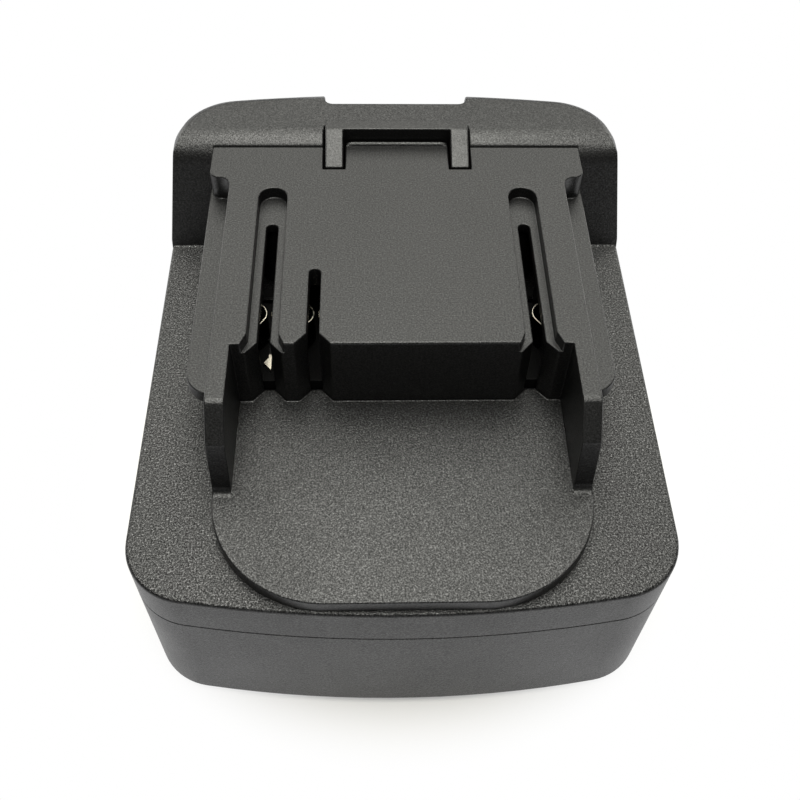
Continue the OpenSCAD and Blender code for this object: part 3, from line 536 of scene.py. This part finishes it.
def tube(line, radius, sides=14):
    """Round section carried along a line: at each point a ring of radius times
    (cosine of the angle sideways, sine of the angle in the third direction)."""
    along = np.gradient(line, axis=0)
    along /= np.linalg.norm(along, axis=1)[:, None]
    sideways = np.cross(along, (0.0, 0.0, 1.0))
    sideways /= np.linalg.norm(sideways, axis=1)[:, None]
    third = np.cross(sideways, along)
    angle = 2 * np.pi * np.arange(sides) / sides
    return line[:, None] + radius * (np.cos(angle)[None, :, None] * sideways[:, None]
                                     + np.sin(angle)[None, :, None] * third[:, None])


def coil_line(x, y, low, high, radius, wire, turns):
    """Middle line of a compression spring: radius times (cosine, sine) of the
    angle, rising by one wire thickness in the first and the last turn, which
    lie closed, and evenly between them."""
    turned = np.linspace(0, turns, 32 * turns + 1)
    rise = np.interp(turned, [0, 1, turns - 1, turns],
                     [low + wire / 2, low + 1.5 * wire, high - 1.5 * wire, high - wire / 2])
    return np.stack([x + radius * np.cos(2 * np.pi * turned),
                     y + radius * np.sin(2 * np.pi * turned), rise], -1)


def wire_line(node):
    """Middle line of a wire from its blade to its contact: a share t of the way
    along Y it has climbed by the share t squared times (3 - 2 t)."""
    climb = 3.6
    x, _, middle = middle_mm(node)
    start, end = box_mm(node)[:, 1]
    t = np.linspace(0, 1, 49)
    return np.stack([np.full(len(t), x), start + (end - start) * t,
                     middle - climb / 2 + climb * t * t * (3 - 2 * t)], -1)


def screw(x, y, seat, way, length, tall):
    """Pan-head screw upright at (x, y), seated at a height, with its head in
    direction way. Its rings go from the middle of the cross recess over the
    head, under it and down the thread to the tip. The recess is bounded at its
    reach or at its half width over the sine of the angle to its nearest arm,
    whichever is less; the head is a flat dome; the thread's depth is a triangle
    wave of the height in turns less the angle in turns; the tip is a cone."""
    head, shank, depth, pitch, tip = 2.4, 1.25, 0.26, 0.9, 1.8
    recess_reach, recess_half, dome_drop = 1.35, 0.27, 0.55
    # Rings in the recess: share of its bounds, and depth under the head's top
    recess_rings = ((0.0, 1.15), (0.6, 1.05), (0.9, 0.85))
    # Rings down the head's side: shares of the head's radius and of its height
    side_rings = ((0.93, 0.60), (0.98, 0.48), (1.0, 0.34), (1.0, 0.0))
    crown_edge = 0.84 * head
    angle = 2 * np.pi * np.arange(48) / 48
    even = np.ones((1, 48))
    from_arm = (angle + np.pi / 4) % (np.pi / 2) - np.pi / 4
    recess = np.minimum(recess_reach, recess_half / np.maximum(np.abs(np.sin(from_arm)), 0.01))
    crown = recess + (crown_edge - recess) * np.linspace(0, 1, 6)[:, None]
    down = np.arange(0.0, length, pitch / 8)[:, None]
    wave = 2 * np.abs((down / pitch + angle / (2 * np.pi)) % 1.0 - 0.5)
    thread = (shank - depth * wave) * np.minimum(1.0, (length - down) / tip)
    radius = np.concatenate([share * recess * even for share, _ in recess_rings] + [crown]
                            + [share * head * even for share, _ in side_rings] + [thread, 0 * even])
    height = np.concatenate([(tall - under) * even for _, under in recess_rings]
                            + [tall - dome_drop * (crown / crown_edge) ** 2]
                            + [share * tall * even for _, share in side_rings]
                            + [-down * even, -length * even])
    return np.stack([x + radius * np.cos(angle), y + radius * np.sin(angle), seat + way * height], -1)


def slab(corners, low, high):
    """Plate of even thickness over an outline in plan."""
    outline = np.array(corners, float)
    return np.stack([np.column_stack([outline, np.full(len(outline), z)]) for z in (low, high)])


def block(left, right, front, rear, low, high):
    """Slab over a rectangle in plan."""
    return slab([(left, front), (right, front), (right, rear), (left, rear)], low, high)


def leaf(x, side, foot, rear):
    """Sprung leaf, an upright strip beside the slit. In plan its near face has
    a straight lead-in, an arc of 2.4 about (2.7, -1.1) that makes the neck, a
    slant and a straight run to the bar. Its section is 0.6 thick at the foot
    and thins to 0.26 at a rounded top."""
    neck, centre_x, centre_y, run, top = 2.4, 2.7, -1.1, 1.847, 44.2
    turn = np.radians(np.linspace(-35, 50, 22))
    arc = np.stack([centre_x - neck * np.cos(turn), centre_y + neck * np.sin(turn)], -1)
    lead = arc[0] + np.linspace(1.7, 0.25, 5)[:, None] * np.array([0.574, -0.819])
    slant = np.array([[1.80, 1.26]])
    straight = np.array([[run, y] for y in (1.42, 3.0, 5.0, rear)])
    line = np.concatenate([lead, arc, slant, straight])
    along = np.gradient(line, axis=0)
    along /= np.linalg.norm(along, axis=1)[:, None]
    away = np.stack([along[:, 1], -along[:, 0]], -1)
    # Section from the near face's foot over the top: distance from that face, and height
    section = np.array([(0.0, foot), (0.0, top - 0.18), (0.04, top - 0.06), (0.13, top),
                        (0.22, top - 0.06), (0.26, top - 0.18), (0.44, foot + 3.2),
                        (0.60, foot + 1.2), (0.60, foot)])
    plan = line[:, None] + section[None, :, :1] * away[:, None]
    return np.stack([x + side * plan[..., 0], plan[..., 1],
                     np.broadcast_to(section[:, 1], plan.shape[:2])], -1)


def contact_shells(x, nosed):
    """Two leaves on a low bar that ends in a tail; a nosed contact also has a
    strip that runs ahead of them under the slit to a three-cornered flare."""
    foot, sheet, tail_end, bar_half, tail_half = 38.4, 0.6, 27.6, 2.446, 2.0
    bar_front, bar_rear = 6.55, 7.15
    shells = [leaf(x, -1, foot, bar_rear), leaf(x, 1, foot, bar_rear),
              block(x - bar_half, x + bar_half, bar_front, bar_rear, foot, foot + sheet),
              block(x - tail_half, x + tail_half, bar_front, bar_rear, tail_end, foot + 0.5)]
    if nosed:
        shells += [block(x - 0.9, x + 0.9, -2.3, -1.7, foot, foot + sheet),
                   block(x - 0.3, x + 0.2, -6.2, -2.2, foot, foot + 0.5),
                   slab([(x + 0.25, -8.3), (x + 0.25, -5.1), (x - 1.1, -6.9)], foot, foot + sheet)]
    return shells


def pair(x, y):
    """Two places that mirror each other across the middle."""
    return [(-x, y), (x, y)]


def screw_set(kind, way, places):
    """Screws of one kind at their places in plan, with their heads in direction
    way. Their seat and their length follow from the height of the node's box."""
    tall = 1.7
    low, high = (float(value) for value in box_mm(kind + "_screws")[:, 2])
    seat = low + tall if way < 0 else high - tall
    length = round(high - low - tall, 3)
    shaped_piece(kind + "_screws", screw_zinc,
                 [screw(x, y, seat, way, length, tall) for x, y in places])


photo_camera()
studio_light()
pale_floor()

shell_black = moulded_black("shell_black", shade=0.005, gloss=0.38, grain=0.27 * MM, depth=0.12 * MM,
                            sparkle=1.80, flat=FLAT_TOP, rest=0.42)
plate_black = moulded_black("plate_black", shade=0.005, gloss=0.38, grain=0.26 * MM, depth=0.075 * MM,
                            sparkle=1.22, flat=TONGUE_TOP, rest=0.55)
latch_black = moulded_black("latch_black", shade=0.005, gloss=0.38, grain=0.26 * MM, depth=0.075 * MM,
                            sparkle=1.22, flat=0.0, rest=0.40)
insulator_black = moulded_black("insulator_black", shade=0.004, gloss=0.55, grain=0.25 * MM,
                                depth=0.02 * MM, sparkle=0.30, flat=0.0, rest=1.0, level=0.05)
# The contacts' colour is painted nearly black below their tops, as shade deep in the slots
contact_tin = plated_metal("contact_tin", (0.80, 0.74, 0.62), 0.26, bright=(44.1 * MM, -5.3 * MM))
blade_nickel = plated_metal("blade_nickel", (0.78, 0.73, 0.62), 0.22)
spring_bright = plated_metal("spring_bright", (0.66, 0.66, 0.68), 0.25)
screw_zinc = plated_metal("screw_zinc", (0.60, 0.61, 0.63), 0.30)
jacket_black = wire_jacket("jacket_black", (0.02, 0.02, 0.02))
jacket_red = wire_jacket("jacket_red", (0.45, 0.02, 0.015))
jacket_white = wire_jacket("jacket_white", (0.75, 0.75, 0.72))

# Shells, plate and latch
rounded_copy("upper_shell", "body", shell_black, 0.35 * MM, upper_edge)
rounded_copy("lower_shell", "body", shell_black, 0.30 * MM, lower_edge)
rounded_copy("tool_plate", "body", plate_black, 0.25 * MM, plate_edge)
rounded_copy("latch", "latch", latch_black, 0.25 * MM, latch_edge)
_, plateau_rear, plateau_top = box_mm("tool_plate")[1]
new_piece("plateau_bead", plate_black, [bead_shell(plateau_rear, plateau_top)])

# Contacts, blades and what holds them
rounded_copy("terminal_block", "body", insulator_black, 0.25 * MM)
rounded_copy("contact_carrier", "body", insulator_black, 0.20 * MM)
for place in ("left", "right", "signal"):
    slot_x = middle_mm("blade_" + place)[0]
    shaped_piece("contact_" + place, contact_tin,
                 contact_shells(slot_x, place == "left"), 0.06 * MM)
    rounded_copy("blade_" + place, "body", blade_nickel, 0.15 * MM, segments=2)

# Latch springs, which the pressed latch shortens
spring_foot, spring_top, spring_wire = CEILING / MM, 38.5, 0.5
for place in ("left", "right"):
    node = "latch_spring_" + place
    x, y, _ = middle_mm(node)
    coil = coil_line(x, y, spring_foot, spring_top, radius=1.85, wire=spring_wire, turns=8)
    spring = shaped_piece(node, spring_bright, [tube(coil, spring_wire / 2)])
    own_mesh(spring)

# Wires
for place, thick, colour, jacket in (("left", 2.8, "black", jacket_black),
                                     ("right", 2.8, "red", jacket_red),
                                     ("signal", 1.6, "white", jacket_white)):
    line = wire_line("wire_" + place)
    shaped_piece("wire_" + place, jacket, [tube(line, thick / 2, 24)], 0.2 * MM)

# Screws: those of the case and the plate have their heads below, the others above
screw_set("case", -1, pair(36.0, -32.5) + pair(36.0, 32.5))
screw_set("plate", -1, pair(5.55, -5.3) + pair(20.65, 18.15))
screw_set("carrier", 1, pair(5.55, 6.55))
screw_set("block", 1, pair(28.5, -29.9))
